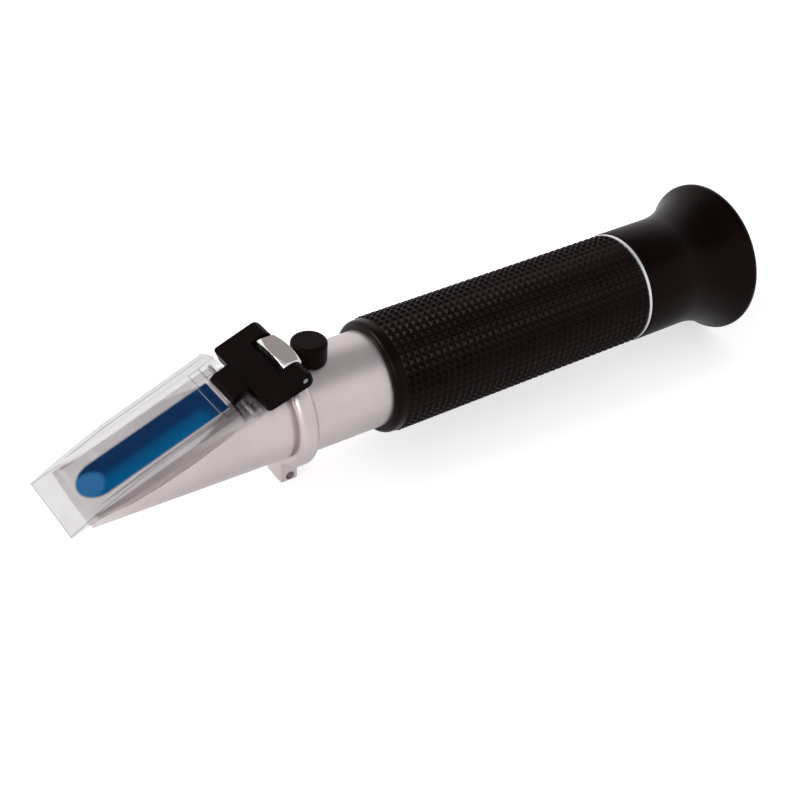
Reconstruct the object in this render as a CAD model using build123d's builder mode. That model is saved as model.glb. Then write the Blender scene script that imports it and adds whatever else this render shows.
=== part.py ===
from build123d import *
import os
from math import cos, radians, sin, sqrt, tan

# Hand-held brix refractometer. Millimetres, +X towards the eye, +Z up.
# The origin lies under the middle of the instrument, on the bench that it rests on.

# Clearances
running_clear = 0.05      # pins and threads that turn
slip_clear = 0.08         # the focusing barrel in its tube, the cap on its bush
part_clear = 0.35         # between bodies that pass each other
film_gap = 0.1            # sample film between the plate and the prism
focus_gap = 0.2           # eyecup behind the silver ring

# Tube and grip, along the optical axis
tube_r = 12.0
tube_wall = 2.7
spigot_wall = 1.3
spigot_length = 3.4
bare_tube_length = 20.9
nose_step = 1.0
nose_length = 8.4
grip_wall = 2.5
grip_band_wall = 2.1
grip_band_length = 3.0
grip_front_round = 1.5
grip_length = 77.5
stud_rows = 39            # rows of gripping studs along the sleeve
stud_height = 0.55
stud_flank = 0.62
stud_top = 0.42
ring_width = 0.8
ring_wall = 2.4

# Head with the slanted face
flange_step = 2.0         # flange over the tube
flange_width = 5.1
flange_round = 1.8        # both edges
undercut_width = 0.8      # groove round the head, against the flange
undercut_depth = 0.5
head_step = 2.8           # heel of the face below the flange
head_taper = 0.75         # front end of the head below its heel
light_bore_r = 6.4
face_angle = 20.6         # slope of the prism face
face_setback = 11.5       # heel of the face in front of the flange
face_length = 41.8        # heel of the face to its front edge
lug_width = 6.3
lug_thickness = 4.4
lug_round = 0.9
lanyard_hole_r = 1.1
lanyard_hole_rise = 1.8   # hole centre above the foot of the lug
lanyard_hole_inset = 1.9  # and in front of its rear face

# Measuring prism, along the face from the heel
prism_tip = 39.7
prism_half_width = 5.3
prism_rear = 2.7          # rear face in front of the heel
prism_depth = 6.0         # floor below the optical axis
cement = 0.3
stop_width = 0.8
stop_opening_r = 5.0
stop_setback = 2.5

# Daylight plate, along the face from the heel
plate_half_width = 10.45
plate_overhang = 5.1      # past the front edge of the metal face
plate_lip = 0.6
plate_floor = 2.0
plate_step = 0.7          # thinner strip in front of the tongue
plate_step_length = 2.8
plate_wedge_length = 8.5
plate_rim_wall = 1.4
plate_rise_length = 19.3
plate_rise_height = 3.1
plate_crown_length = 37.9
plate_rim_height = 3.45
skirt_start = 1.4         # behind the front edge of the metal face
skirt_run = 8.1
skirt_drop_front = 1.5
skirt_drop_rear = 3.2
skirt_tail = 4.5          # lowest point of the skirt in front of the heel
plate_ear_r = 1.85        # round the cross pin
plate_ear_height = 3.6
plate_ear_shoulder = 1.2
plate_ear_round = 0.9
plate_boss_height = 1.45  # inside the ears
plate_pin_setback = 0.7
plate_pin_drop = 1.5      # cross pin below the face
plate_pin_r = 0.6
pin_inset = 0.1

# Hinge bracket and its block
bracket_half_width = 11.6
bracket_front = 3.5       # shoulder behind the heel
bracket_skirt_drop = 1.95
bracket_corner_r = 1.1
bracket_gap_half_width = 6.45
bracket_gap_run = 3.3     # web in front of the hinge pin
tongue_half_width = 4.9
tongue_reach = 1.7        # in front of the heel
tongue_drop = 0.75
tongue_boss_r = 1.5       # round the cross pin
tongue_root = 1.0         # overlap of the tongue with the web
tongue_nose_length = 1.5
tongue_nose_drop = 0.7
ear_r = 2.05
hinge_pin_r = 0.65
pin_rise = 1.6            # hinge pin above the flange
pin_setback = 3.2         # and in front of its rear face
block_front = 2.4
block_rear = 2.1
block_bulge = 0.6
block_head = 1.7          # block above the pin
block_turn_r = 16.5
block_turn_inset = 0.2
block_turn_angle = 30
block_end_chamfer = 0.6
foot_r = 1.0
foot_length = 2.4
foot_spread = 3.6

# Calibration screw under its cap
screw_setback = 4.7       # screw behind the flange
bush_r = 2.6
bush_rise = 2.0
bush_recess = 0.1         # foot of the bush in the wall of the tube
screw_r = 1.2
screw_tip_gap = 0.3
screw_head_r = 1.9
screw_head_height = 1.3
slot_width = 0.5
slot_depth = 0.6
cap_r = 4.35
cap_height = 4.9          # top above the tube
cap_top_wall = 1.1
cap_round = 0.8

# Objective and its temperature compensation
cell_gap = 0.5            # all round the cell
cell_wall = 0.9
cell_length = 13.0
cell_front_gap = 2.0
cell_seat = 4.0           # seat behind the front of the cell
seat_width = 0.9
seat_wall = 1.1
objective_edge = 2.2
objective_crown = 1.4
retainer_width = 1.4
strip_width = 5.0
strip_thickness = 0.8
strip_length = 28.0
strip_overlap = 4.0
strip_mount_length = 7.0
strip_screw_r = 0.6
strip_screw_head_r = 1.2
strip_screw_head = 0.7
strip_screw_length = 1.4
strip_screw_edge = 2.0

# Reticle
reticle_setback = 12.0
reticle_thickness = 1.5
holder_wall = 1.1
holder_front = 4.0
holder_rear = 3.0

# Eyepiece
barrel_front = 5.2        # barrel in front of the silver ring
barrel_wall = 1.72
hub_step = 1.2            # hub over the tube's nose
hub_gap = 0.8
hub_length = 10.4
barrel_seat = 4.6
barrel_seat_wall = 1.0
field_stop_inset = 0.5
field_stop_width = 1.0
field_stop_wall = 0.9
field_lens_edge = 2.0
field_lens_crown = 1.2
spacer_length = 5.5
eye_lens_edge = 2.2
eye_lens_crown = 1.6
o_ring_r = 0.55
o_ring_front = 2.6
o_ring_squeeze = 0.02
cup_neck_wall = 2.6       # over the tube
cup_flare_start = 15.1
cup_rim_r = 19.9
cup_rim_land = 1.8
cup_length = 31.9
cup_rim_round = 1.2
cup_lip_round = 0.7
cup_wall = 2.0
cup_floor_wall = 2.4      # beside the floor of the cup
cup_floor_round = 1.5
cup_eye_r = 9.2
cup_eye_land = 1.0

# Radii about the optical axis
tube_bore_r = tube_r - tube_wall
spigot_r = tube_bore_r + spigot_wall
nose_r = tube_r - nose_step
grip_r = tube_r + grip_wall
grip_band_r = tube_r + grip_band_wall
ring_r = tube_r + ring_wall
flange_r = tube_r + flange_step
head_rear_r = flange_r - head_step
head_front_r = head_rear_r - head_taper
cell_r = tube_bore_r - cell_gap
barrel_r = tube_bore_r - slip_clear
barrel_bore_r = barrel_r - barrel_wall
barrel_hub_r = nose_r + hub_step
cup_neck_r = tube_r + cup_neck_wall

# Stations along the optical axis, from the middle of the silver ring
slope = radians(face_angle)
tube_rear_x = ring_width / 2
grip_rear_x = -ring_width / 2
grip_front_x = grip_rear_x - grip_length
tube_front_x = grip_front_x - bare_tube_length
flange_front_x = tube_front_x - flange_width
heel_x = flange_front_x - face_setback
cup_front_x = tube_rear_x + focus_gap
cup_rear_x = cup_front_x + cup_length
plate_front = -face_length - plate_overhang
front_x = heel_x + plate_front * cos(slope) - (film_gap + plate_lip) * sin(slope)
ring_x = -(front_x + cup_rear_x) / 2
axis_z = cup_rim_r

# Planes and axes that the pieces share
axis_centre = (ring_x, 0, axis_z)
axis_plane = Plane(origin=axis_centre, x_dir=(1, 0, 0), z_dir=(0, -1, 0))
optical_axis = Axis(axis_centre, (1, 0, 0))
heel = (ring_x + heel_x, 0, axis_z + head_rear_r)
face_dir = (cos(slope), 0, sin(slope))
face_plane = Plane(origin=heel, x_dir=face_dir, z_dir=(-sin(slope), 0, cos(slope)))
side_plane = Plane(origin=heel, x_dir=face_dir, z_dir=(0, -1, 0))

# Hinge pin: over the flange, and its place along and above the face
hinge_x = tube_front_x - pin_setback
hinge_z = flange_r + pin_rise
hinge_run = (hinge_x - heel_x) * cos(slope) + (hinge_z - head_rear_r) * sin(slope)
hinge_height = (hinge_z - head_rear_r) * cos(slope) - (hinge_x - heel_x) * sin(slope)
ear_foot_drop = plate_pin_drop + plate_ear_r


def level_plane(x, z):
    """Horizontal plane at station x, z above the optical axis."""
    return Plane(origin=(ring_x + x, 0, axis_z + z), x_dir=(1, 0, 0), z_dir=(0, 0, 1))


def cross_plane(x):
    """Plane square to the optical axis at station x."""
    return Plane(origin=(ring_x + x, 0, axis_z), x_dir=(0, 1, 0), z_dir=(1, 0, 0))


def band(front, rear, inner, outer):
    """Corners of a rectangle, by its ends and its two radii."""
    return [(front, inner), (rear, inner), (rear, outer), (front, outer)]


def dome(edge_x, apex_x, rim_r):
    """Half a lens face: the arc from the rim to the apex on the optical axis."""
    crown = abs(apex_x - edge_x)
    sphere_r = (rim_r ** 2 + crown ** 2) / (2 * crown)
    half_sag = sphere_r - sqrt(sphere_r ** 2 - rim_r ** 2 / 4)
    middle_x = apex_x + (half_sag if edge_x > apex_x else -half_sag)
    ThreePointArc((edge_x, rim_r), (middle_x, rim_r / 2), (apex_x, 0))


def prism_wedge(margin):
    """The prism's shape, larger by a margin at its sides, tip and floor."""
    side = prism_half_width + margin
    tip = -prism_tip - margin
    with BuildPart() as wedge:
        with BuildSketch(face_plane):
            with BuildLine():
                Line((0, -side), (tip + side, -side))
                ThreePointArc((tip + side, -side), (tip, 0), (tip + side, side))
                Line((tip + side, side), (0, side))
                Line((0, side), (0, -side))
            make_face()
        extrude(amount=-2 * flange_r)
        split(bisect_by=level_plane(0, -prism_depth - margin), keep=Keep.TOP)
        split(bisect_by=cross_plane(prism_rear_x), keep=Keep.BOTTOM)
    return wedge.part


def skirt_line(gap):
    """Lower edge of the plate's skirts, a gap below it, from the front to the tail."""
    start = skirt_start - face_length
    return [(start - gap, film_gap), (start + skirt_run, -skirt_drop_front - gap),
            (-skirt_tail, -skirt_drop_rear - gap), (plate_pin_setback, -ear_foot_drop - gap)]


def finish(piece, label):
    """Labels a piece and writes it under its node's name."""
    piece.part.label = label
    export_step(piece.part, f"parts/{label}.step")


os.makedirs("parts", exist_ok=True)

# Prism housing: a slightly tapered head, its flange and the lanyard lug
head_front_x = heel_x - face_length * cos(slope)
spigot_front_x = tube_front_x - spigot_length
light_rear_x = spigot_front_x - running_clear
prism_rear_x = heel_x - prism_rear * cos(slope)
lug_front_x = tube_front_x - lug_thickness
relief_half_width = tongue_half_width + part_clear
relief_rear = bracket_front + part_clear
flat_half_width = plate_half_width - plate_rim_wall - part_clear

with BuildPart() as flange:
    with BuildSketch(axis_plane):
        with BuildLine():
            FilletPolyline((flange_front_x, 0), (flange_front_x, flange_r), (tube_front_x, flange_r),
                           (tube_front_x, 0), radius=[0, flange_round, flange_round, 0], close=True)
        make_face()
    revolve(axis=optical_axis)

with BuildPart() as prism_housing:
    with BuildSketch(axis_plane):
        Polygon((head_front_x, 0), (head_front_x, head_front_r), (flange_front_x, head_rear_r),
                (flange_front_x, 0), align=None)
    revolve(axis=optical_axis)
    add(flange.part)
    with BuildSketch(axis_plane):
        Polygon(*band(lug_front_x, tube_front_x, -axis_z, -spigot_r - running_clear), align=None)
    extrude(amount=lug_width / 2, both=True)
    fillet(prism_housing.edges().group_by(Axis.Z)[0], lug_round)
    # Groove against the flange, and the bores for the light and for the tube's spigot
    with BuildSketch(axis_plane):
        Polygon(*band(flange_front_x - undercut_width, flange_front_x, head_rear_r - undercut_depth,
                      head_rear_r), align=None)
        Polygon(*band(prism_rear_x, light_rear_x, 0, light_bore_r), align=None)
        Polygon(*band(light_rear_x, tube_front_x, 0, spigot_r + running_clear), align=None)
    revolve(axis=optical_axis, mode=Mode.SUBTRACT)
    # Slanted face and the front end, square to it
    split(bisect_by=face_plane, keep=Keep.BOTTOM)
    front_edge = face_plane.from_local_coords((-face_length, 0, 0))
    split(bisect_by=Plane(front_edge, z_dir=-face_plane.x_dir), keep=Keep.BOTTOM)
    add(prism_wedge(cement), mode=Mode.SUBTRACT)
    # Relief under the bracket's tongue
    with BuildSketch(side_plane):
        Polygon(*band(-tongue_reach - part_clear, relief_rear, -tongue_drop - part_clear, flange_r),
                align=None)
    extrude(amount=relief_half_width, both=True, mode=Mode.SUBTRACT)
    # Wider relief round the cross pin
    with BuildSketch(side_plane):
        Polygon(*band(plate_pin_setback - plate_ear_r - part_clear, relief_rear,
                      -ear_foot_drop - part_clear, flange_r), align=None)
    extrude(amount=flat_half_width, both=True, mode=Mode.SUBTRACT)
    # Flats beside the face, for the plate's skirts
    for side in (1, -1):
        with BuildSketch(side_plane.offset(side * flat_half_width)):
            Polygon(*skirt_line(part_clear), (relief_rear, -ear_foot_drop - part_clear),
                    (relief_rear, flange_r), (skirt_start - face_length - part_clear, flange_r),
                    align=None)
        extrude(amount=side * flange_r, mode=Mode.SUBTRACT)
    # Lanyard hole through the lug, and two holes for the hinge block's feet
    with BuildSketch(axis_plane):
        with Locations((tube_front_x - lanyard_hole_inset, lanyard_hole_rise - axis_z)):
            Circle(lanyard_hole_r)
    extrude(amount=lug_width, both=True, mode=Mode.SUBTRACT)
    with BuildSketch(level_plane(hinge_x, flange_r)):
        with GridLocations(0, 2 * foot_spread, 1, 2):
            Circle(foot_r)
    extrude(amount=-foot_length, mode=Mode.SUBTRACT)
finish(prism_housing, "prism_housing")

# Measuring prism: a wedge with a rounded tip, upright at the rear
with BuildPart() as measuring_prism:
    add(prism_wedge(0))
finish(measuring_prism, "measuring_prism")

# Bedding between the prism and its pocket
with BuildPart() as prism_cement:
    add(prism_wedge(cement))
    add(prism_wedge(0), mode=Mode.SUBTRACT)
finish(prism_cement, "prism_cement")

# Light stop: a ring in the light bore
with BuildPart() as light_stop:
    with BuildSketch(axis_plane):
        Polygon(*band(light_rear_x - stop_setback - stop_width, light_rear_x - stop_setback,
                      stop_opening_r, light_bore_r), align=None)
    revolve(axis=optical_axis)
finish(light_stop, "light_stop")

# Daylight plate: a thin-nosed floor, two rims with skirts, and two ears round the cross pin
floor_rear = -tongue_reach - part_clear
step_front = floor_rear - plate_step_length
plate_nose = [(plate_front, film_gap), (plate_front, film_gap + plate_lip),
              (plate_front + plate_wedge_length, plate_floor)]
tail_u = plate_pin_setback + plate_ear_r
boss_width = plate_half_width - plate_rim_wall - relief_half_width

with BuildPart() as daylight_plate:
    with BuildSketch(side_plane):
        Polygon(*plate_nose, (step_front, plate_floor), (step_front, plate_floor - plate_step),
                (floor_rear, plate_floor - plate_step), (floor_rear, film_gap), align=None)
    extrude(amount=plate_half_width, both=True)
    for side in (1, -1):
        rim_inside = side_plane.offset(side * (plate_half_width - plate_rim_wall))
        with BuildSketch(rim_inside):
            with BuildLine():
                outline = [*plate_nose, (plate_front + plate_rise_length, plate_rise_height),
                           (plate_front + plate_crown_length, plate_rim_height),
                           (plate_pin_setback, plate_ear_height), (tail_u, plate_ear_shoulder),
                           (tail_u, -ear_foot_drop), *reversed(skirt_line(0))]
                rounds = [0] * len(outline)
                rounds[outline.index((tail_u, plate_ear_shoulder)) - 1] = plate_ear_round
                rounds[outline.index((tail_u, -ear_foot_drop))] = plate_ear_r - running_clear
                FilletPolyline(*outline, radius=rounds, close=True)
            make_face()
        extrude(amount=side * plate_rim_wall)
        with BuildSketch(side_plane.offset(side * relief_half_width)):
            Polygon(*band(floor_rear, tail_u, film_gap, plate_boss_height), align=None)
            Polygon(*band(plate_pin_setback, tail_u, -plate_pin_drop, plate_boss_height), align=None)
            with Locations((plate_pin_setback, -plate_pin_drop)):
                Circle(plate_ear_r)
        extrude(amount=side * boss_width)
    # Holes for the cross pin
    with BuildSketch(side_plane):
        with Locations((plate_pin_setback, -plate_pin_drop)):
            Circle(plate_pin_r + running_clear)
    extrude(amount=2 * plate_half_width, both=True, mode=Mode.SUBTRACT)
finish(daylight_plate, "daylight_plate")

# Hinge bracket: a slab over the head with a tongue in front and two pin ears behind
bracket_top = hinge_height + ear_r
gap_front = hinge_run - bracket_gap_run
bracket_rear = hinge_run + ear_r

with BuildPart() as hinge_bracket:
    with BuildSketch(side_plane):
        Polygon((bracket_front, -bracket_skirt_drop), (bracket_front, bracket_top),
                (hinge_run, bracket_top), (hinge_run, hinge_height - ear_r), align=None)
        with Locations((hinge_run, hinge_height)):
            Circle(ear_r)
    extrude(amount=bracket_half_width, both=True)
    with BuildSketch(face_plane):
        with Locations(((bracket_front + bracket_rear) / 2, 0)):
            RectangleRounded(bracket_rear - bracket_front, 2 * bracket_half_width, bracket_corner_r)
    extrude(amount=flange_r, both=True, mode=Mode.INTERSECT)
    with BuildSketch(side_plane):
        Polygon(*band(gap_front, bracket_rear + part_clear, -flange_r, flange_r), align=None)
    extrude(amount=bracket_gap_half_width, both=True, mode=Mode.SUBTRACT)
    # Hollow underneath, clear of the head and of the flange
    with BuildSketch(axis_plane):
        Polygon(*band(head_front_x, flange_front_x, 0, head_rear_r + part_clear), align=None)
        Polygon(*band(flange_front_x - part_clear, tube_front_x + flange_width, 0, flange_r + part_clear),
                align=None)
    revolve(axis=optical_axis, mode=Mode.SUBTRACT)
    with BuildSketch(side_plane):
        Polygon((-tongue_reach, -tongue_drop), (-tongue_reach, bracket_top - tongue_nose_drop),
                (tongue_nose_length - tongue_reach, bracket_top),
                (bracket_front + tongue_root, bracket_top),
                (bracket_front + tongue_root, -tongue_drop), align=None)
        with Locations((plate_pin_setback, -plate_pin_drop)):
            Circle(tongue_boss_r)
    extrude(amount=tongue_half_width, both=True)
    with BuildSketch(side_plane):
        with Locations((hinge_run, hinge_height)):
            Circle(hinge_pin_r)
        with Locations((plate_pin_setback, -plate_pin_drop)):
            Circle(plate_pin_r)
    extrude(amount=bracket_half_width, both=True, mode=Mode.SUBTRACT)
finish(hinge_bracket, "hinge_bracket")

# Hinge pin, fast in the bracket's ears
with BuildPart() as hinge_pin:
    with BuildSketch(side_plane):
        with Locations((hinge_run, hinge_height)):
            Circle(hinge_pin_r)
    extrude(amount=bracket_half_width - pin_inset, both=True)
finish(hinge_pin, "hinge_pin")

# Cross pin that carries the plate, fast in the tongue
with BuildPart() as plate_pin:
    with BuildSketch(side_plane):
        with Locations((plate_pin_setback, -plate_pin_drop)):
            Circle(plate_pin_r)
    extrude(amount=plate_half_width - pin_inset, both=True)
finish(plate_pin, "plate_pin")

# Hinge block: saddled on the flange, its top edges turned to a slope, on two feet
block_half_width = bracket_gap_half_width - part_clear
block_top = hinge_z + block_head
turned_drop = block_head + pin_rise
turned_grow = turned_drop / tan(radians(block_turn_angle))
turned_outline = [(0, 0), (block_turn_r, 0), (block_turn_r + turned_grow, -turned_drop),
                  (block_turn_r + turned_grow, -flange_r), (0, -flange_r)]

with BuildPart() as hinge_block:
    with BuildSketch(level_plane(hinge_x, block_top)):
        with BuildLine():
            Line((-block_front, block_half_width), (-block_front, -block_half_width))
            Line((-block_front, -block_half_width), (block_rear, -block_half_width))
            ThreePointArc((block_rear, -block_half_width), (block_rear + block_bulge, 0),
                          (block_rear, block_half_width))
            Line((block_rear, block_half_width), (-block_front, block_half_width))
        make_face()
    extrude(amount=flange_r - flange_round - block_top)
    chamfer(hinge_block.edges().group_by(Axis.Z)[-1].filter_by(Axis.X), block_end_chamfer)
    for turn_x in (block_turn_r + block_turn_inset - block_front,
                   block_rear + block_bulge - block_turn_inset - block_turn_r):
        turn_centre = (ring_x + hinge_x + turn_x, 0, axis_z + block_top)
        with BuildSketch(Plane(origin=turn_centre, x_dir=(1, 0, 0), z_dir=(0, -1, 0))):
            Polygon(*turned_outline, align=None)
        revolve(axis=Axis(turn_centre, (0, 0, 1)), mode=Mode.INTERSECT)
    add(flange.part, mode=Mode.SUBTRACT)
    with BuildSketch(level_plane(hinge_x, flange_r)):
        with GridLocations(0, 2 * foot_spread, 1, 2):
            Circle(foot_r)
    extrude(amount=-foot_length)
    with BuildSketch(side_plane):
        with Locations((hinge_run, hinge_height)):
            Circle(hinge_pin_r + running_clear)
    extrude(amount=bracket_half_width, both=True, mode=Mode.SUBTRACT)
finish(hinge_block, "hinge_block")

# Main tube: spigot, bare tube, and a stepped nose inside the eyecup
strip_front_x = tube_front_x + cell_front_gap + cell_length - strip_overlap
strip_rear_x = strip_front_x + strip_length
screw_x = tube_front_x + screw_setback
nose_rear_x = tube_rear_x + nose_length

with BuildPart() as main_tube:
    with BuildSketch(axis_plane):
        Polygon((tube_front_x, tube_r), (tube_rear_x, tube_r), (tube_rear_x, nose_r),
                (nose_rear_x, nose_r), (nose_rear_x, tube_bore_r), (spigot_front_x, tube_bore_r),
                (spigot_front_x, spigot_r), (tube_front_x, spigot_r), align=None)
    revolve(axis=optical_axis)
    with BuildSketch(level_plane(screw_x, 0)):
        Circle(bush_r)
    extrude(amount=tube_r, mode=Mode.SUBTRACT)
finish(main_tube, "main_tube")

# Calibration bush, in the wall of the tube
bush_top = tube_r + bush_rise

with BuildPart() as calibration_bush:
    with BuildSketch(level_plane(screw_x, bush_top)):
        Circle(bush_r)
        Circle(screw_r + running_clear, mode=Mode.SUBTRACT)
    extrude(amount=-bush_rise - tube_wall + bush_recess)
finish(calibration_bush, "calibration_bush")

# Calibration screw with its slotted head
with BuildPart() as calibration_screw:
    with BuildSketch(level_plane(screw_x, cell_r + screw_tip_gap)):
        Circle(screw_r)
    extrude(amount=bush_top - cell_r - screw_tip_gap)
    with BuildSketch(level_plane(screw_x, bush_top + running_clear)):
        Circle(screw_head_r)
    extrude(amount=screw_head_height)
    with BuildSketch(level_plane(screw_x, bush_top)):
        Circle(screw_r)
    extrude(amount=running_clear)
    with BuildSketch(level_plane(screw_x, bush_top + running_clear + screw_head_height)):
        Rectangle(2 * screw_head_r, slot_width)
    extrude(amount=-slot_depth, mode=Mode.SUBTRACT)
finish(calibration_screw, "calibration_screw")

# Rubber cap: hollow over the bush, saddled on the tube
cap_top = tube_r + cap_height

with BuildPart() as screw_cap:
    with BuildSketch(level_plane(screw_x, cap_top)):
        Circle(cap_r)
    extrude(amount=-cap_height - tube_r / 2)
    fillet(screw_cap.edges().group_by(Axis.Z)[-1], cap_round)
    with BuildSketch(level_plane(screw_x, cap_top - cap_top_wall)):
        Circle(bush_r + slip_clear)
    extrude(amount=-cap_height - tube_r / 2, mode=Mode.SUBTRACT)
    with BuildSketch(axis_plane):
        Polygon(*band(flange_front_x, grip_front_x, 0, tube_r + part_clear), align=None)
    revolve(axis=optical_axis, mode=Mode.SUBTRACT)
finish(screw_cap, "screw_cap")

# Grip sleeve: a smooth rounded front band, then rows of studs, drawn here as ribs all round
band_rear_x = grip_front_x + grip_band_length
stud_pitch = (grip_rear_x - band_rear_x) / stud_rows
stud_root_r = grip_r - stud_height
ribs = []
for row in range(stud_rows):
    middle_x = band_rear_x + (row + 0.5) * stud_pitch
    ribs += [(middle_x - stud_top / 2 - stud_flank, stud_root_r), (middle_x - stud_top / 2, grip_r),
             (middle_x + stud_top / 2, grip_r), (middle_x + stud_top / 2 + stud_flank, stud_root_r)]

with BuildPart() as grip_sleeve:
    with BuildSketch(axis_plane):
        with BuildLine():
            FilletPolyline((grip_front_x, tube_r), (grip_front_x, grip_band_r),
                           (band_rear_x, grip_band_r), radius=grip_front_round)
            Polyline((band_rear_x, grip_band_r), (band_rear_x, stud_root_r), *ribs,
                     (grip_rear_x, stud_root_r), (grip_rear_x, tube_r), (grip_front_x, tube_r))
        make_face()
    revolve(axis=optical_axis)
finish(grip_sleeve, "grip_sleeve")

# Silver ring that closes the grip
with BuildPart() as end_ring:
    with BuildSketch(axis_plane):
        Polygon(*band(grip_rear_x, tube_rear_x, tube_r, ring_r), align=None)
    revolve(axis=optical_axis)
finish(end_ring, "end_ring")

# Objective cell: a short tube with a seat, hung on the bimetal strip
cell_front_x = tube_front_x + cell_front_gap
cell_rear_x = cell_front_x + cell_length
cell_bore_r = cell_r - cell_wall
seat_front_x = cell_front_x + cell_seat
objective_x = seat_front_x + seat_width
retainer_x = objective_x + objective_edge
strip_low = -sqrt(cell_bore_r ** 2 - (strip_width / 2) ** 2)
strip_high = strip_low + strip_thickness
mount_front_x = strip_rear_x - strip_mount_length
strip_screws_at = [cell_rear_x - strip_screw_edge, mount_front_x + strip_screw_edge,
                   strip_rear_x - strip_screw_edge]

with BuildPart() as objective_cell:
    with BuildSketch(axis_plane):
        Polygon(*band(cell_front_x, cell_rear_x, cell_bore_r, cell_r), align=None)
        Polygon(*band(seat_front_x, objective_x, cell_bore_r - seat_wall, cell_r), align=None)
    revolve(axis=optical_axis)
    with BuildSketch(level_plane(strip_screws_at[0], 0)):
        Circle(strip_screw_r)
    extrude(amount=-cell_r, mode=Mode.SUBTRACT)
finish(objective_cell, "objective_cell")

# Objective lens, convex on both sides
with BuildPart() as objective_lens:
    with BuildSketch(axis_plane):
        with BuildLine():
            dome(objective_x, objective_x - objective_crown, cell_bore_r - seat_wall)
            Polyline((objective_x, cell_bore_r - seat_wall), (objective_x, cell_bore_r),
                     (retainer_x, cell_bore_r), (retainer_x, cell_bore_r - seat_wall))
            dome(retainer_x, retainer_x + objective_crown, cell_bore_r - seat_wall)
            Line((retainer_x + objective_crown, 0), (objective_x - objective_crown, 0))
        make_face()
    revolve(axis=optical_axis)
finish(objective_lens, "objective_lens")

# Ring that holds the objective on its seat
with BuildPart() as objective_ring:
    with BuildSketch(axis_plane):
        Polygon(*band(retainer_x, retainer_x + retainer_width, cell_bore_r - seat_wall, cell_bore_r),
                align=None)
    revolve(axis=optical_axis)
finish(objective_ring, "objective_ring")

# Bimetal strip, from the cell to its mount on the wall of the tube
with BuildPart() as bimetal_strip:
    with BuildSketch(level_plane((strip_front_x + strip_rear_x) / 2, strip_low)):
        Rectangle(strip_length, strip_width)
    extrude(amount=strip_thickness)
    for station in strip_screws_at:
        with BuildSketch(level_plane(station, strip_low)):
            Circle(strip_screw_r)
        extrude(amount=strip_thickness, mode=Mode.SUBTRACT)
finish(bimetal_strip, "bimetal_strip")

with BuildPart() as strip_mount:
    with BuildSketch(axis_plane):
        Polygon(*band(mount_front_x, strip_rear_x, 0, tube_bore_r), align=None)
    revolve(axis=optical_axis)
    with BuildSketch(level_plane((mount_front_x + strip_rear_x) / 2, strip_low)):
        Rectangle(strip_mount_length, strip_width)
    extrude(amount=-tube_bore_r, mode=Mode.INTERSECT)
    for station in strip_screws_at[1:]:
        with BuildSketch(level_plane(station, strip_low)):
            Circle(strip_screw_r)
        extrude(amount=-strip_screw_length, mode=Mode.SUBTRACT)
finish(strip_mount, "strip_mount")

# Three screws: one into the cell, two into the mount
with BuildPart() as strip_screws:
    for station in strip_screws_at:
        with BuildSketch(level_plane(station, strip_high)):
            Circle(strip_screw_head_r)
        extrude(amount=strip_screw_head)
        with BuildSketch(level_plane(station, strip_high)):
            Circle(strip_screw_r)
        extrude(amount=-strip_thickness - strip_screw_length)
finish(strip_screws, "strip_screws")

# Reticle: holder, glass disc and ring
reticle_x = -reticle_setback
reticle_rear_x = reticle_x + reticle_thickness
holder_bore_r = tube_bore_r - holder_wall

with BuildPart() as reticle_holder:
    with BuildSketch(axis_plane):
        Polygon(*band(reticle_x - holder_front, reticle_rear_x + holder_rear, holder_bore_r,
                      tube_bore_r), align=None)
        Polygon(*band(reticle_x - seat_width, reticle_x, holder_bore_r - seat_wall, tube_bore_r),
                align=None)
    revolve(axis=optical_axis)
finish(reticle_holder, "reticle_holder")

with BuildPart() as reticle_disc:
    with BuildSketch(cross_plane(reticle_x)):
        Circle(holder_bore_r)
    extrude(amount=reticle_thickness)
finish(reticle_disc, "reticle_disc")

with BuildPart() as reticle_ring:
    with BuildSketch(axis_plane):
        Polygon(*band(reticle_rear_x, reticle_rear_x + retainer_width, holder_bore_r - seat_wall,
                      holder_bore_r), align=None)
    revolve(axis=optical_axis)
finish(reticle_ring, "reticle_ring")

# Eyepiece barrel: slides and turns in the tube, with a hub behind the tube's nose
barrel_front_x = -barrel_front
hub_front_x = nose_rear_x + hub_gap
hub_rear_x = hub_front_x + hub_length
barrel_land_r = barrel_bore_r - barrel_seat_wall
field_lens_x = barrel_seat + seat_width
spacer_x = field_lens_x + field_lens_edge
eye_lens_x = spacer_x + spacer_length
eye_ring_x = eye_lens_x + eye_lens_edge
o_ring_x = -o_ring_front
o_ring_centre_r = tube_bore_r - o_ring_squeeze - o_ring_r
groove_r = o_ring_centre_r - o_ring_r - running_clear
groove_half = o_ring_r + running_clear

with BuildPart() as eyepiece_barrel:
    with BuildSketch(axis_plane):
        Polygon((barrel_front_x, barrel_bore_r), (barrel_front_x, barrel_r), (hub_front_x, barrel_r),
                (hub_front_x, barrel_hub_r), (hub_rear_x, barrel_hub_r), (hub_rear_x, barrel_bore_r),
                align=None)
        Polygon(*band(barrel_seat, field_lens_x, barrel_land_r, barrel_r), align=None)
        Polygon(*band(o_ring_x - groove_half, o_ring_x + groove_half, groove_r, tube_r), align=None,
                mode=Mode.SUBTRACT)
    revolve(axis=optical_axis)
finish(eyepiece_barrel, "eyepiece_barrel")

with BuildPart() as focus_o_ring:
    with BuildSketch(axis_plane):
        with Locations((o_ring_x, o_ring_centre_r)):
            Circle(o_ring_r)
    revolve(axis=optical_axis)
finish(focus_o_ring, "focus_o_ring")

with BuildPart() as field_stop:
    with BuildSketch(axis_plane):
        Polygon(*band(barrel_front_x + field_stop_inset,
                      barrel_front_x + field_stop_inset + field_stop_width,
                      barrel_bore_r - field_stop_wall, barrel_bore_r), align=None)
    revolve(axis=optical_axis)
finish(field_stop, "field_stop")

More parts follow.
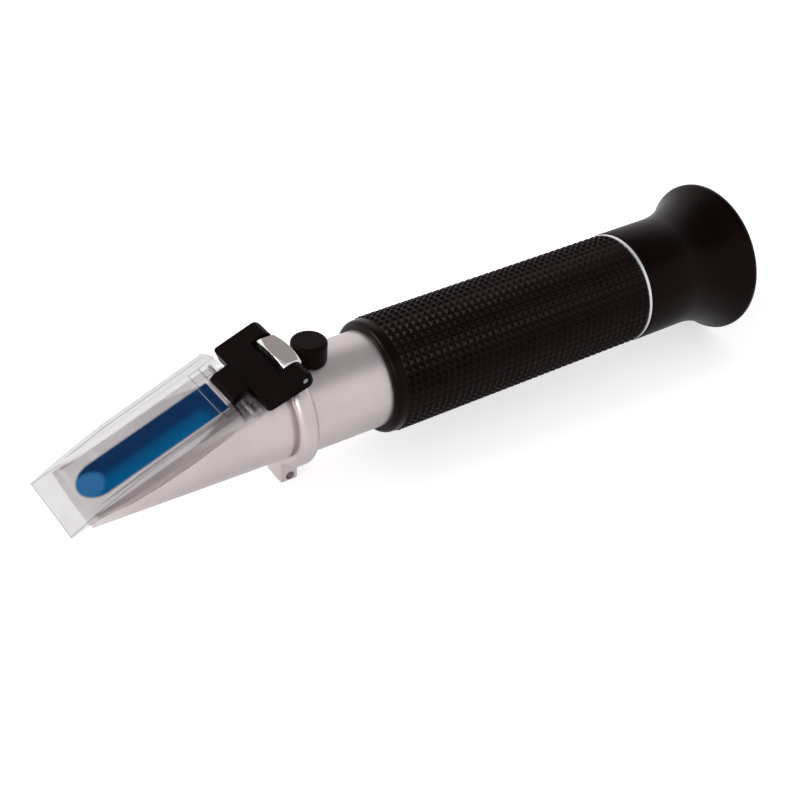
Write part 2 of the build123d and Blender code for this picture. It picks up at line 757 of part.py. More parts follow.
# Field lens: flat in front, convex behind
with BuildPart() as field_lens:
    with BuildSketch(axis_plane):
        with BuildLine():
            Polyline((field_lens_x, 0), (field_lens_x, barrel_bore_r), (spacer_x, barrel_bore_r),
                     (spacer_x, barrel_land_r))
            dome(spacer_x, spacer_x + field_lens_crown, barrel_land_r)
            Line((spacer_x + field_lens_crown, 0), (field_lens_x, 0))
        make_face()
    revolve(axis=optical_axis)
finish(field_lens, "field_lens")

with BuildPart() as lens_spacer:
    with BuildSketch(axis_plane):
        Polygon(*band(spacer_x, eye_lens_x, barrel_land_r, barrel_bore_r), align=None)
    revolve(axis=optical_axis)
finish(lens_spacer, "lens_spacer")

# Eye lens: convex on both sides
with BuildPart() as eye_lens:
    with BuildSketch(axis_plane):
        with BuildLine():
            dome(eye_lens_x, eye_lens_x - eye_lens_crown, barrel_land_r)
            Polyline((eye_lens_x, barrel_land_r), (eye_lens_x, barrel_bore_r),
                     (eye_ring_x, barrel_bore_r), (eye_ring_x, barrel_land_r))
            dome(eye_ring_x, eye_ring_x + eye_lens_crown, barrel_land_r)
            Line((eye_ring_x + eye_lens_crown, 0), (eye_lens_x - eye_lens_crown, 0))
        make_face()
    revolve(axis=optical_axis)
finish(eye_lens, "eye_lens")

with BuildPart() as eye_lens_ring:
    with BuildSketch(axis_plane):
        Polygon(*band(eye_ring_x, eye_ring_x + retainer_width, barrel_land_r, barrel_bore_r),
                align=None)
    revolve(axis=optical_axis)
finish(eye_lens_ring, "eye_lens_ring")

# Eyecup: a neck that turns to focus, and a flared rubber cup around the eye
flare_x = cup_front_x + cup_flare_start
shoulder_x = cup_rear_x - cup_rim_land
cup_mouth_r = cup_rim_r - cup_wall
land_rear_x = hub_rear_x + cup_eye_land
cup_floor_r = cup_neck_r - cup_floor_wall

with BuildPart() as eyecup:
    with BuildSketch(axis_plane):
        with BuildLine():
            TangentArc((flare_x, cup_neck_r), (shoulder_x, cup_rim_r), tangent=(1, 0))
            FilletPolyline(
                (shoulder_x, cup_rim_r), (cup_rear_x, cup_rim_r), (cup_rear_x, cup_mouth_r),
                (land_rear_x, cup_floor_r), (land_rear_x, cup_eye_r), (hub_rear_x, cup_eye_r),
                (hub_rear_x, barrel_hub_r), (hub_front_x, barrel_hub_r),
                (hub_front_x, nose_r + part_clear), (cup_front_x, nose_r + part_clear),
                (cup_front_x, cup_neck_r), (flare_x, cup_neck_r),
                radius=[cup_rim_round, cup_lip_round, cup_floor_round, 0, 0, 0, 0, 0, 0, 0])
        make_face()
    revolve(axis=optical_axis)
finish(eyecup, "eyecup")
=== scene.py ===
import bpy
from math import atan2, cos, pi, radians, sin
from mathutils import Matrix, Vector


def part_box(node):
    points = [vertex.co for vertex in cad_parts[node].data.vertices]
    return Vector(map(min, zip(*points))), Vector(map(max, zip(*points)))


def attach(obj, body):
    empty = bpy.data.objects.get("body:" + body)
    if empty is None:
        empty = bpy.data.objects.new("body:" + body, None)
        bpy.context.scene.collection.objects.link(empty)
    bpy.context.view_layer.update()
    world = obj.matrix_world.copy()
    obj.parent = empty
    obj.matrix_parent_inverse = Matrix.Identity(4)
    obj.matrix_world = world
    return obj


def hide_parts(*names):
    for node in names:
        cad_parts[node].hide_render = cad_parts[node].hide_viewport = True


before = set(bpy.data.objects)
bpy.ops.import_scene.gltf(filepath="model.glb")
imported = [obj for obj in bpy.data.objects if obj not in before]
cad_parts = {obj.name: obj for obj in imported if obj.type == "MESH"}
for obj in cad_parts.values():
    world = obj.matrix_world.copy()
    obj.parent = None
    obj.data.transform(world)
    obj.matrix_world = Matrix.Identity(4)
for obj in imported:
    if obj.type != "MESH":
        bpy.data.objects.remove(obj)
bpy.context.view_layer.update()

bpy.ops.object.select_all(action="DESELECT")

# Prism housing: head, flange and lanyard lug in one piece of turned and milled
# aluminium, with a satin silver coat. The slanted face is ground flat, and
# every outer edge is broken by a small bevel. The face is painted brighter than
# the coat: painted light, for the light that the plate holds back.
ring_low, ring_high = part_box("end_ring")
ring_x = (ring_low[0] + ring_high[0]) / 2
axis_z = (ring_low[2] + ring_high[2]) / 2
merge_distance = 0.000002
face_angle = radians(20.6)
heel_before_ring = 0.1154
heel_above_axis = 0.0112
coat_dark = (0.60, 0.53, 0.54)
coat_light = (0.67, 0.59, 0.60)
face_painted_light = (0.86, 0.82, 0.83)


def opened(material):
    """A material's nodes and links, and the shader that takes the finish."""
    nodes = material.node_tree.nodes
    return nodes, material.node_tree.links, nodes["Principled BSDF"]


def new_material(name):
    """A new material, with its nodes, its links and its shader."""
    material = bpy.data.materials.new(name)
    material.use_nodes = True
    return material, *opened(material)


def object_coordinates(nodes, links, scale=(1, 1, 1)):
    """Object coordinates through a mapping that stretches a pattern."""
    source = nodes.new("ShaderNodeTexCoord")
    mapping = nodes.new("ShaderNodeMapping")
    mapping.inputs["Scale"].default_value = scale
    links.new(source.outputs["Object"], mapping.inputs["Vector"])
    return mapping.outputs["Vector"]


def noise(nodes, links, vector, scale, detail=2.0):
    """A noise pattern's value."""
    pattern = nodes.new("ShaderNodeTexNoise")
    pattern.inputs["Scale"].default_value = scale
    pattern.inputs["Detail"].default_value = detail
    links.new(vector, pattern.inputs["Vector"])
    return pattern.outputs["Fac"]


def between(nodes, links, value, low, high, start=0.35, end=0.65):
    """A number that goes from low to high as the pattern goes from start to end."""
    ramp = nodes.new("ShaderNodeMapRange")
    ramp.inputs["From Min"].default_value = start
    ramp.inputs["From Max"].default_value = end
    ramp.inputs["To Min"].default_value = low
    ramp.inputs["To Max"].default_value = high
    links.new(value, ramp.inputs["Value"])
    return ramp.outputs["Result"]


def two_tone(nodes, links, value, first, second, start=0.35, end=0.65):
    """A colour between two, as the pattern goes from start to end."""
    ramp = nodes.new("ShaderNodeValToRGB")
    ramp.color_ramp.elements[0].position = start
    ramp.color_ramp.elements[0].color = (*first, 1)
    ramp.color_ramp.elements[1].position = end
    ramp.color_ramp.elements[1].color = (*second, 1)
    links.new(value, ramp.inputs["Fac"])
    return ramp.outputs["Color"]


def bump(nodes, links, height, shader, strength, distance):
    """Relief from a pattern's height, in metres."""
    relief = nodes.new("ShaderNodeBump")
    relief.inputs["Strength"].default_value = strength
    relief.inputs["Distance"].default_value = distance
    links.new(height, relief.inputs["Height"])
    links.new(relief.outputs["Normal"], shader.inputs["Normal"])


def face_coordinates(nodes, links):
    """Coordinates along, across and above the slanted face, from its heel, and each alone."""
    source = nodes.new("ShaderNodeTexCoord")
    along_face = nodes.new("ShaderNodeMapping")
    along_face.vector_type = "TEXTURE"
    along_face.inputs["Location"].default_value = (
        ring_x - heel_before_ring, 0, axis_z + heel_above_axis)
    along_face.inputs["Rotation"].default_value = (0, -face_angle, 0)
    links.new(source.outputs["Object"], along_face.inputs["Vector"])
    split = nodes.new("ShaderNodeSeparateXYZ")
    links.new(along_face.outputs["Vector"], split.inputs["Vector"])
    return along_face.outputs["Vector"], split


def blend_colour(nodes, links, amount, first, second):
    """One colour over another, by an amount from 0 to 1; each a socket or a colour."""
    mix = nodes.new("ShaderNodeMix")
    mix.data_type = "RGBA"
    links.new(amount, mix.inputs[0])
    for socket, colour in ((mix.inputs[6], first), (mix.inputs[7], second)):
        if isinstance(colour, tuple):
            socket.default_value = (*colour, 1)
        else:
            links.new(colour, socket)
    return mix.outputs[2]


def satin_metal(name, dark, light, lines):
    """Coated aluminium: clouded grey, with fine turning lines across the axis."""
    material, nodes, links, shader = new_material(name)
    clouds = noise(nodes, links, object_coordinates(nodes, links), 70.0)
    turned = noise(nodes, links, object_coordinates(nodes, links, lines), 1.0)
    links.new(two_tone(nodes, links, clouds, dark, light), shader.inputs["Base Color"])
    links.new(between(nodes, links, turned, 0.3, 0.42), shader.inputs["Roughness"])
    bump(nodes, links, turned, shader, 0.12, 0.00003)
    shader.inputs["Metallic"].default_value = 0.85
    return material


def finish_node(node, material):
    """Puts a material on a solid that keeps its own shape."""
    for material_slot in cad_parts[node].material_slots:
        material_slot.material = material


def pick(piece):
    """Makes a piece the only one selected, and active."""
    bpy.ops.object.select_all(action="DESELECT")
    piece.select_set(True)
    bpy.context.view_layer.objects.active = piece


def edged_copy(node, body, material, edge_width, segments=2, edge_material=None,
               shortest=0.0):
    """Copy of a solid with merged corners and bevelled edges.

    With an edge material, only the edges longer than the shortest are bevelled, and the
    bevels take that material.
    """
    sharp = radians(35)
    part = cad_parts[node]
    piece = bpy.data.objects.new(node + "_edged", part.data.copy())
    bpy.context.collection.objects.link(piece)
    piece.data.materials.clear()
    piece.data.materials.append(material)
    pick(piece)
    bpy.ops.object.mode_set(mode="EDIT")
    bpy.ops.mesh.select_all(action="SELECT")
    bpy.ops.mesh.remove_doubles(threshold=merge_distance)
    bpy.ops.mesh.dissolve_limited(angle_limit=radians(0.2))
    bpy.ops.mesh.select_mode(type="EDGE")
    bpy.ops.mesh.select_all(action="DESELECT")
    bpy.ops.mesh.edges_select_sharp(sharpness=sharp)
    bpy.ops.object.mode_set(mode="OBJECT")
    bevel = piece.modifiers.new("edges", "BEVEL")
    bevel.width = edge_width
    bevel.segments = segments
    bevel.limit_method = "ANGLE"
    bevel.angle_limit = sharp
    bevel.miter_outer = "MITER_ARC"
    if edge_material:
        piece.data.materials.append(edge_material)
        bevel.material = 1
        bevel.use_clamp_overlap = False
        bevel.limit_method = "WEIGHT"
        weights = piece.data.attributes.new("bevel_weight_edge", "FLOAT", "EDGE")
        points = piece.data.vertices
        for edge, weight in zip(piece.data.edges, weights.data):
            first, second = (points[index].co for index in edge.vertices)
            if edge.select and (first - second).length > shortest:
                weight.value = 1.0
    bpy.ops.object.modifier_apply(modifier="edges")
    bpy.ops.object.shade_smooth_by_angle(angle=radians(28))
    flats = piece.modifiers.new("flats", "WEIGHTED_NORMAL")
    flats.keep_sharp = True
    flats.weight = 90
    bpy.ops.object.modifier_apply(modifier="flats")
    piece.select_set(False)
    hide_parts(node)
    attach(piece, body)
    return piece


housing_metal = satin_metal("housing_satin", coat_dark, coat_light, (900, 60, 60))
nodes, links, shader = opened(housing_metal)
coat = shader.inputs["Base Color"].links[0].from_socket
face_place, face_axes = face_coordinates(nodes, links)
# Painted light: the slanted face is painted brighter than the coat, to make up for the light the
# plate holds back.
face_painted_light_mask = between(nodes, links, face_axes.outputs["Z"], 0.0, 1.0, -0.0002, -0.00005)
links.new(blend_colour(nodes, links, face_painted_light_mask, coat, face_painted_light),
          shader.inputs["Base Color"])
edged_copy("prism_housing", "optical_body", housing_metal, 0.00025, 3)

# Measuring prism: a wedge of blue glass, let into the face and polished. Its
# colour holds painted light and shade: it is painted navy along the far side and
# the rear and painted brighter towards the near side, with a painted glint, a
# pale round spot in its tip, and two fine painted reflection lines across its rear.
window_far_painted_shade = (0.003, 0.030, 0.100)
window_middle_painted_light = ((0.42, (0.002, 0.028, 0.108)), (0.60, (0.0, 0.070, 0.20)),
                 (0.85, (0.0, 0.097, 0.26)))
window_near_painted_light = (0.0, 0.108, 0.29)
window_rear_painted_shade = (0.002, 0.029, 0.108)
painted_glint_centre = (-0.0374, -0.0003, 0)
painted_glint_inner = 0.0034
painted_glint_outer = 0.0044
painted_glint_colour = (0.030, 0.165, 0.39)
painted_reflection_places = (-0.0050, -0.0025)
painted_reflection_half_width = 0.00011
painted_reflection_colour = (0.26, 0.33, 0.42)
prism_glass, nodes, links, shader = new_material("prism_blue")
face_place, face_axes = face_coordinates(nodes, links)
# Painted light and shade: navy along the far side and the rear, brighter towards the near side.
across = between(nodes, links, face_axes.outputs["Y"], 1.0, 0.0, -0.0045, 0.0042)
painted_light_band = nodes.new("ShaderNodeValToRGB")
ramp = painted_light_band.color_ramp
ramp.elements[0].position = 0.0
ramp.elements[0].color = (*window_far_painted_shade, 1)
ramp.elements[1].position = 1.0
ramp.elements[1].color = (*window_near_painted_light, 1)
for place, colour in window_middle_painted_light:
    element = ramp.elements.new(place)
    element.color = (*colour, 1)
links.new(across, painted_light_band.inputs["Fac"])
lit_length = between(nodes, links, face_axes.outputs["X"], 1.0, 0.0, -0.0085, -0.0055)
banded = blend_colour(nodes, links, lit_length, window_rear_painted_shade, painted_light_band.outputs["Color"])
# Painted glint: a pale round spot in the tip.
spot = nodes.new("ShaderNodeVectorMath")
spot.operation = "DISTANCE"
spot.inputs[1].default_value = painted_glint_centre
links.new(face_place, spot.inputs[0])
painted_glint_edge = between(nodes, links, spot.outputs["Value"], 1.0, 0.0, painted_glint_inner, painted_glint_outer)
window_colour = blend_colour(nodes, links, painted_glint_edge, banded, painted_glint_colour)
# Painted reflections: two fine pale lines across the rear of the window.
for line_place in painted_reflection_places:
    line = nodes.new("ShaderNodeMath")
    line.operation = "COMPARE"
    line.inputs[1].default_value = line_place
    line.inputs[2].default_value = painted_reflection_half_width
    links.new(face_axes.outputs["X"], line.inputs[0])
    window_colour = blend_colour(nodes, links, line.outputs["Value"], window_colour, painted_reflection_colour)
links.new(window_colour, shader.inputs["Base Color"])
shader.inputs["Roughness"].default_value = 0.08
shader.inputs["IOR"].default_value = 1.52
shader.inputs["Specular IOR Level"].default_value = 0.03
finish_node("measuring_prism", prism_glass)

# Prism cement: a thin grey bed of cured resin between the glass and its
# pocket, seen as a fine line round the window.
cement, nodes, links, shader = new_material("cured_cement")
grain = noise(nodes, links, object_coordinates(nodes, links), 900.0)
links.new(two_tone(nodes, links, grain, (0.30, 0.31, 0.34), (0.42, 0.42, 0.45)),
          shader.inputs["Base Color"])
links.new(between(nodes, links, grain, 0.45, 0.6), shader.inputs["Roughness"])
finish_node("prism_cement", cement)

# Daylight plate: moulded clear acrylic. Its long edges are lightly rounded,
# and their bevels are painted dark grey, painted shade for the fine grey lines
# where they bend the light. The skirts and ears below the film are painted
# pale and a little less clear, painted light for the light that they bend.
skirt_top = 0.0
skirt_painted_light_depth = -0.0005
skirt_painted_light = (0.74, 0.715, 0.72)
skirt_clearness = 0.72
shortest_rim = 0.0015


def clear_plastic(name, dark, light, cover):
    """Clear plastic with a faint cloud in it; cover is how much of it hides what is behind."""
    material, nodes, links, shader = new_material(name)
    haze = noise(nodes, links, object_coordinates(nodes, links), 220.0)
    cloud = two_tone(nodes, links, haze, dark, light)
    above_face = face_coordinates(nodes, links)[1].outputs["Z"]
    # Painted light: below the film the skirts and ears are painted pale and made a little less
    # clear.
    skirt = between(nodes, links, above_face, 1.0, 0.0, skirt_painted_light_depth, skirt_top)
    links.new(blend_colour(nodes, links, skirt, cloud, skirt_painted_light),
              shader.inputs["Base Color"])
    links.new(between(nodes, links, skirt, 1.0, skirt_clearness, 0.0, 1.0),
              shader.inputs["Transmission Weight"])
    shader.inputs["Roughness"].default_value = 0.0
    shader.inputs["IOR"].default_value = 1.12
    shader.inputs["Specular Tint"].default_value = (0.25, 0.25, 0.25, 1.0)
    shader.inputs["Alpha"].default_value = cover
    return material


acrylic = clear_plastic("clear_acrylic", (0.36, 0.347, 0.352), (0.41, 0.397, 0.402), 0.5)
# Painted shade: the rim bevels take dark grey, for the fine lines where the edges bend the light.
acrylic_painted_edge_shade = clear_plastic("acrylic_painted_edge_shade", (0.11, 0.10, 0.105), (0.16, 0.15, 0.155), 0.75)
plate = edged_copy("daylight_plate", "cover_plate", acrylic, 0.00016, 2,
                   edge_material=acrylic_painted_edge_shade, shortest=shortest_rim)
plate.visible_shadow = False

# Hinge bracket: milled black-coated metal, a slab with a tongue in front and
# two pin ears behind. Its edges are broken.
def black_coat(name, dark, light, roughness, specular):
    """Satin black coat on metal, with a faint grain."""
    material, nodes, links, shader = new_material(name)
    grain = noise(nodes, links, object_coordinates(nodes, links), 1800.0, 3.0)
    clouds = noise(nodes, links, object_coordinates(nodes, links), 90.0)
    links.new(two_tone(nodes, links, clouds, dark, light), shader.inputs["Base Color"])
    links.new(between(nodes, links, grain, roughness, roughness + 0.1),
              shader.inputs["Roughness"])
    bump(nodes, links, grain, shader, 0.1, 0.00002)
    shader.inputs["Specular IOR Level"].default_value = specular
    shader.inputs["Specular Tint"].default_value = (1.0, 0.6, 0.62, 1)
    return material


bracket_coat = black_coat("bracket_black", (0.002, 0.0007, 0.0007), (0.004, 0.0016, 0.0017),
                          0.3, 0.04)
edged_copy("hinge_bracket", "cover_arm", bracket_coat, 0.0003, 3)

# Hinge block, hinge pin and cross pin: turned and milled steel. Below its top
# face the block is painted bright, a painted highlight on its turned edges, and
# the pins are dull.
def bright_steel(name, dark, light, lines, roughness):
    """Bare steel with the fine lines of the tool."""
    material, nodes, links, shader = new_material(name)
    scratches = noise(nodes, links, object_coordinates(nodes, links, lines), 1.0, 3.0)
    links.new(two_tone(nodes, links, scratches, dark, light), shader.inputs["Base Color"])
    links.new(between(nodes, links, scratches, roughness, roughness + 0.12),
              shader.inputs["Roughness"])
    bump(nodes, links, scratches, shader, 0.12, 0.00002)
    shader.inputs["Metallic"].default_value = 1.0
    return material


slope_painted_highlight = (0.86, 0.84, 0.84)
block_steel = bright_steel("block_steel", (0.29, 0.25, 0.245), (0.32, 0.28, 0.27),
                           (3000, 300, 300), 0.2)
pin_steel = bright_steel("pin_steel", (0.22, 0.21, 0.21), (0.29, 0.28, 0.28),
                         (3000, 900, 3000), 0.28)
nodes, links, shader = opened(block_steel)
flat_top = shader.inputs["Base Color"].links[0].from_socket
# Painted highlight: everything below the block's top face is painted bright, for the reflections
# on its turned slopes.
source = nodes.new("ShaderNodeTexCoord")
split = nodes.new("ShaderNodeSeparateXYZ")
links.new(source.outputs["Object"], split.inputs["Vector"])
block_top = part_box("hinge_block")[1][2]
slope_painted_highlight_mask = between(nodes, links, split.outputs["Z"], 1.0, 0.0,
                      block_top - 0.0001, block_top - 0.00004)
links.new(blend_colour(nodes, links, slope_painted_highlight_mask, flat_top, slope_painted_highlight),
          shader.inputs["Base Color"])
edged_copy("hinge_block", "optical_body", block_steel, 0.00008, 2)
for node in ("hinge_pin", "plate_pin"):
    finish_node(node, pin_steel)

# Main tube: drawn aluminium, turned and coated satin silver. Very fine rings
# run round it.
finish_node("main_tube", satin_metal("tube_satin", coat_dark, coat_light, (4000, 40, 40)))

# Calibration bush and screw: turned brass, hidden by the cap until it is
# pulled off. The objective's cell and ring and the strip's mount are brass too.
brass = bright_steel("turned_brass", (0.52, 0.36, 0.13), (0.66, 0.48, 0.2),
                     (2000, 2000, 6000), 0.22)
for node in ("calibration_bush", "calibration_screw", "objective_cell", "objective_ring",
             "strip_mount"):
    finish_node(node, brass)

# Screw cap: a soft black rubber plug, pushed over the bush. Its top edge is
# rounded and a little shiny.
def black_rubber(name, dark, light, roughness, specular, grain_scale=2500.0, relief=0.00002):
    """Moulded black rubber: brownish black with a fine grain."""
    material, nodes, links, shader = new_material(name)
    grain = noise(nodes, links, object_coordinates(nodes, links), grain_scale, 3.0)
    clouds = noise(nodes, links, object_coordinates(nodes, links), 120.0)
    links.new(two_tone(nodes, links, clouds, dark, light), shader.inputs["Base Color"])
    links.new(between(nodes, links, grain, roughness, roughness + 0.12),
              shader.inputs["Roughness"])
    bump(nodes, links, grain, shader, 0.15, relief)
    shader.inputs["Specular IOR Level"].default_value = specular
    shader.inputs["Specular Tint"].default_value = (1.0, 0.56, 0.58, 1)
    return material


cap_rubber = black_rubber("cap_rubber", (0.003, 0.001, 0.0013), (0.006, 0.0025, 0.003),
                          0.16, 0.045, 600.0, 0.000006)
edged_copy("screw_cap", "screw_cap", cap_rubber, 0.00015, 2)

# Grip sleeve: black rubber, pushed over the tube. A smooth rounded band leads
# the front, and rows of small square pyramids cover the rest, up to the
# silver ring. One pyramid ring is modelled, then repeated along the sleeve.
grip_low, grip_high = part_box("grip_sleeve")
grip_front = grip_low[0]
grip_rear = grip_high[0]
tube_radius = 0.012
band_radius = 0.0141
band_round = 0.0015
band_length = 0.003
peak_radius = 0.0145
root_radius = 0.01395
studs_around = 48
stud_rings = 39
knurl_front = grip_front + band_length
stud_pitch = (grip_rear - knurl_front) / stud_rings
stud_gap = 0.00012
stud_flank = 0.00062
grip_rubber = black_rubber("grip_rubber", (0.002, 0.0006, 0.0007), (0.004, 0.0014, 0.0016),
                           0.2, 0.1)


def turned_shell(name, stations, around):
    """Round shell about the optical axis, extruded ring by ring through the stations."""
    x, radius = stations[0]
    bpy.ops.mesh.primitive_circle_add(
        vertices=around, radius=radius, fill_type="NOTHING",
        location=(ring_x + x, 0, axis_z), rotation=(0, pi / 2, 0))
    piece = bpy.context.active_object
    piece.name = name
    bpy.ops.object.transform_apply(location=True, rotation=True, scale=True)
    bpy.ops.object.mode_set(mode="EDIT")
    bpy.ops.mesh.select_all(action="SELECT")
    for next_x, next_radius in stations[1:]:
        grow = next_radius / radius
        bpy.ops.mesh.extrude_region_move(TRANSFORM_OT_translate={"value": (next_x - x, 0, 0)})
        bpy.ops.transform.resize(value=(1, grow, grow),
                                 center_override=(ring_x + next_x, 0, axis_z))
        x, radius = next_x, next_radius
    bpy.ops.mesh.select_all(action="SELECT")
    bpy.ops.mesh.remove_doubles(threshold=merge_distance)
    bpy.ops.mesh.normals_make_consistent(inside=False)
    bpy.ops.object.mode_set(mode="OBJECT")
    return piece


def corner_arc(centre, radius, start, end, steps):
    """Stations of a rounded corner, by its centre and its two angles in degrees."""
    angles = [radians(start + (end - start) * k / steps) for k in range(steps + 1)]
    return [(centre[0] + radius * cos(angle), centre[1] + radius * sin(angle))
            for angle in angles]


band_front = grip_front - ring_x
band_rear = knurl_front - ring_x
sleeve_rear = grip_rear - ring_x
sleeve = turned_shell(
    "grip_sleeve_rubber",
    [(band_front, tube_radius)]
    + corner_arc((band_front + band_round, band_radius - band_round), band_round, 180, 90, 8)
    + [(band_rear - 0.0002, band_radius), (band_rear, root_radius), (sleeve_rear, root_radius),
       (sleeve_rear, tube_radius), (band_front, tube_radius)], 144)
sleeve.data.materials.append(grip_rubber)
pick(sleeve)
bpy.ops.object.shade_smooth_by_angle(angle=radians(30))

bpy.ops.object.select_all(action="DESELECT")
bpy.ops.mesh.primitive_cylinder_add(
    vertices=studs_around, radius=root_radius, depth=stud_pitch, end_fill_type="NOTHING",
    location=(knurl_front + stud_pitch / 2, 0, axis_z), rotation=(0, pi / 2, 0))
studs = bpy.context.active_object
studs.name = "grip_studs"
bpy.ops.object.transform_apply(location=True, rotation=True, scale=True)
bpy.ops.object.mode_set(mode="EDIT")
bpy.ops.mesh.select_all(action="SELECT")
bpy.ops.mesh.inset(thickness=stud_gap, use_individual=True)
bpy.ops.mesh.inset(thickness=stud_flank, depth=peak_radius - root_radius, use_individual=True)
bpy.ops.object.mode_set(mode="OBJECT")
rows = studs.modifiers.new("rows", "ARRAY")
rows.count = stud_rings
rows.use_relative_offset = False
rows.use_constant_offset = True
rows.constant_offset_displace = (stud_pitch, 0, 0)
rows.use_merge_vertices = True
rows.merge_threshold = 0.00001
bpy.ops.object.modifier_apply(modifier="rows")
studs.data.materials.append(grip_rubber)
bpy.ops.object.shade_smooth_by_angle(angle=radians(20))
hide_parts("grip_sleeve")
for piece in (sleeve, studs):
    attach(piece, "optical_body")

# End ring: a narrow turned aluminium ring that closes the grip. It is left
# bright, with its edges broken.
ring_metal = satin_metal("ring_bright", (0.72, 0.71, 0.71), (0.8, 0.79, 0.79), (6000, 60, 60))
edged_copy("end_ring", "optical_body", ring_metal, 0.0001, 2)

# Eyecup: moulded black rubber on the focusing hub. A straight neck flares out
# to a thick rounded rim, and the hollow behind it narrows to the eye lens.
cup_low, cup_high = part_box("eyecup")
cup_front = cup_low[0] - ring_x
cup_rear = cup_high[0] - ring_x
neck_radius = 0.0146
bore_radius = 0.01135
hub_radius = 0.0122
hub_front = 0.0096
hub_rear = 0.0200
flare_start = cup_front + 0.0151
rim_radius = cup_high[2] - axis_z
rim_land = 0.0018
rim_round = 0.0012
lip_round = 0.0007
mouth_radius = rim_radius - 0.002
floor_radius = 0.0122
eye_radius = 0.0092
floor_x = hub_rear + 0.001
flare_run = cup_rear - rim_land - flare_start
flare_rise = rim_radius - neck_radius
flare_angle = 2 * atan2(flare_rise, flare_run)
flare_radius = flare_run / sin(flare_angle)
flare_steps = 24
flare = [(flare_start + flare_radius * sin(flare_angle * k / flare_steps),
          neck_radius + flare_radius * (1 - cos(flare_angle * k / flare_steps)))
         for k in range(flare_steps + 1)]
cup = turned_shell(
    "eyecup_rubber",
    [(hub_front, bore_radius), (cup_front, bore_radius), (cup_front, neck_radius - 0.0003),
     (cup_front + 0.0001, neck_radius - 0.0001), (cup_front + 0.0003, neck_radius)]
    + flare
    + corner_arc((cup_rear - rim_round, rim_radius - rim_round), rim_round, 90, 0, 8)
    + corner_arc((cup_rear - lip_round, mouth_radius + lip_round), lip_round, 0, -90, 5)
    + [(floor_x + 0.0012, floor_radius + 0.0005), (floor_x + 0.0003, floor_radius - 0.0003),
       (floor_x, floor_radius - 0.0012), (floor_x, eye_radius), (hub_rear, eye_radius),
       (hub_rear, hub_radius), (hub_front, hub_radius), (hub_front, bore_radius)], 160)
cup_rubber = black_rubber("cup_rubber", (0.0012, 0.0004, 0.0004), (0.0025, 0.0008, 0.0009),
                          0.26, 0.1, 1500.0, 0.000015)
cup.data.materials.append(cup_rubber)
pick(cup)
bpy.ops.object.shade_smooth_by_angle(angle=radians(45))
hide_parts("eyecup")
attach(cup, "eyepiece")

# Eyepiece barrel, its stop and spacers, and the reticle's mount: black
# anodised metal, matt so that no light is thrown back to the eye.
inner_black = black_coat("anodised_black", (0.006, 0.006, 0.0065), (0.012, 0.012, 0.013), 0.5, 0.3)
for node in ("eyepiece_barrel", "field_stop", "lens_spacer", "eye_lens_ring", "reticle_holder",
             "reticle_ring", "light_stop"):
    finish_node(node, inner_black)

# Lenses and the reticle disc: ground and polished clear glass, with a faint
# tint from the coating. Their rings hold them in the cell and the barrel.
lens_glass, nodes, links, shader = new_material("lens_glass")
tint = noise(nodes, links, object_coordinates(nodes, links), 120.0)
links.new(two_tone(nodes, links, tint, (0.86, 0.93, 0.95), (0.93, 0.97, 0.98)),
          shader.inputs["Base Color"])
links.new(between(nodes, links, tint, 0.01, 0.03), shader.inputs["Roughness"])
shader.inputs["Transmission Weight"].default_value = 1.0
shader.inputs["IOR"].default_value = 1.52
for node in ("objective_lens", "reticle_disc", "field_lens", "eye_lens"):
    finish_node(node, lens_glass)

# Focusing ring seal: a soft black O-ring of the same rubber as the cap, in the
# barrel's groove. It brakes the turn.
finish_node("focus_o_ring", cap_rubber)

# Bimetal strip and its screws: rolled strip that shifts the objective with
# temperature, held by three steel screws.
rolled = bright_steel("rolled_bimetal", (0.5, 0.45, 0.36), (0.62, 0.58, 0.48),
                      (300, 4000, 4000), 0.3)
finish_node("bimetal_strip", rolled)
finish_node("strip_screws", pin_steel)

# Floor: a plain pale bench top under the object. It shows white, and keeps
# the soft shadow.
def maximum(nodes, links, first, second):
    """The larger of two values."""
    larger = nodes.new("ShaderNodeMath")
    larger.operation = "MAXIMUM"
    links.new(first, larger.inputs[0])
    links.new(second, larger.inputs[1])
    return larger.outputs["Value"]


def seen_rays(nodes, links, rays):
    """One for camera, mirrored and transmitted rays, and zero for all others."""
    direct = maximum(nodes, links, rays.outputs["Is Camera Ray"], rays.outputs["Is Glossy Ray"])
    return maximum(nodes, links, direct, rays.outputs["Is Transmission Ray"])


floor_lift = 0.3
camera_lift = 0.3
bpy.ops.object.select_all(action="DESELECT")
bpy.ops.mesh.primitive_plane_add(size=8.0, location=(0, 0, 0))
floor = bpy.context.active_object
floor.name = "floor"
bench, nodes, links, shader = new_material("bench_white")
shader.inputs["Base Color"].default_value = (0.8, 0.8, 0.8, 1)
shader.inputs["Roughness"].default_value = 0.7
shader.inputs["Specular IOR Level"].default_value = 0.1
rays = nodes.new("ShaderNodeLightPath")
lift = nodes.new("ShaderNodeMath")
lift.operation = "MULTIPLY"
lift.inputs[1].default_value = floor_lift
links.new(seen_rays(nodes, links, rays), lift.inputs[0])
bright = nodes.new("ShaderNodeMath")
bright.operation = "MULTIPLY_ADD"
bright.inputs[1].default_value = camera_lift
links.new(rays.outputs["Is Camera Ray"], bright.inputs[0])
links.new(lift.outputs["Value"], bright.inputs[2])
glow = nodes.new("ShaderNodeEmission")
links.new(bright.outputs["Value"], glow.inputs["Strength"])
both = nodes.new("ShaderNodeAddShader")
links.new(shader.outputs["BSDF"], both.inputs[0])
links.new(glow.outputs["Emission"], both.inputs[1])
links.new(both.outputs["Shader"], nodes["Material Output"].inputs["Surface"])
floor.data.materials.append(bench)

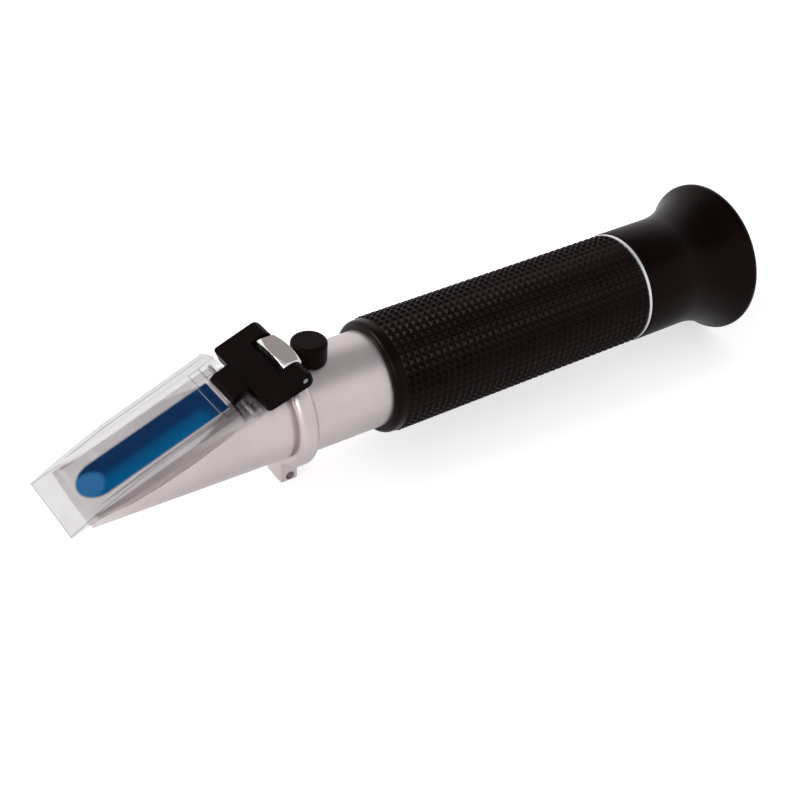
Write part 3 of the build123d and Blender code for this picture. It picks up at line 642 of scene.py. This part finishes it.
# Studio light: a wide soft lamp over the far side, a smaller one at the left
# for the highlights, and an even white room.
def soft_lamp(name, place, target, width, height, power):
    """A rectangular lamp that looks at a point."""
    lamp = bpy.data.lights.new(name, "AREA")
    lamp.shape = "RECTANGLE"
    lamp.size = width
    lamp.size_y = height
    lamp.energy = power
    holder = bpy.data.objects.new(name, lamp)
    bpy.context.collection.objects.link(holder)
    holder.location = place
    holder.rotation_euler = (Vector(target) - Vector(place)).to_track_quat("-Z", "Y").to_euler()


middle = (0, 0, 0.02)
soft_lamp("lamp_over", (-0.68, 0.37, 0.56), middle, 0.5, 0.5, 4.5)
soft_lamp("lamp_left", (-0.75, -0.35, 0.35), middle, 0.3, 0.3, 1.5)
room_light = 0.55
room_seen = 1.0
ceiling_mirrored = 0.3
room = bpy.data.worlds.new("room")
bpy.context.scene.world = room
room.use_nodes = True
nodes = room.node_tree.nodes
links = room.node_tree.links
rays = nodes.new("ShaderNodeLightPath")
level = between(nodes, links, seen_rays(nodes, links, rays), room_light, room_seen, 0.0, 1.0)
nodes["Background"].inputs["Color"].default_value = (1, 1, 1, 1)
toward = nodes.new("ShaderNodeTexCoord")
height = nodes.new("ShaderNodeSeparateXYZ")
links.new(toward.outputs["Generated"], height.inputs["Vector"])
ceiling = between(nodes, links, height.outputs["Z"], 1.0, ceiling_mirrored, 0.7, 0.77)
mirrored = nodes.new("ShaderNodeMix")
mirrored.data_type = "FLOAT"
mirrored.inputs[2].default_value = 1.0
links.new(rays.outputs["Is Glossy Ray"], mirrored.inputs[0])
links.new(ceiling, mirrored.inputs[3])
strength = nodes.new("ShaderNodeMath")
strength.operation = "MULTIPLY"
links.new(level, strength.inputs[0])
links.new(mirrored.outputs[0], strength.inputs[1])
links.new(strength.outputs["Value"], nodes["Background"].inputs["Strength"])

# Camera: above and to the left of the object, on the side of the prism, as in
# the photograph. Its axes and its place are given from the ring's middle.
lens = bpy.data.cameras.new("camera")
camera = bpy.data.objects.new("camera", lens)
bpy.context.collection.objects.link(camera)
lens.sensor_width = 36.0
lens.lens = 72.03
lens.clip_start = 0.01
right = Vector((0.82462, -0.56360, 0.04862))
up = Vector((0.30923, 0.52108, 0.79552))
back = Vector((-0.47369, -0.64097, 0.60397))
placed = Matrix((right, up, back)).transposed().to_4x4()
placed.translation = (ring_x - 0.253754, -0.252269, axis_z + 0.227050)
camera.matrix_world = placed
bpy.context.scene.camera = camera
bpy.context.scene.view_settings.view_transform = "Standard"
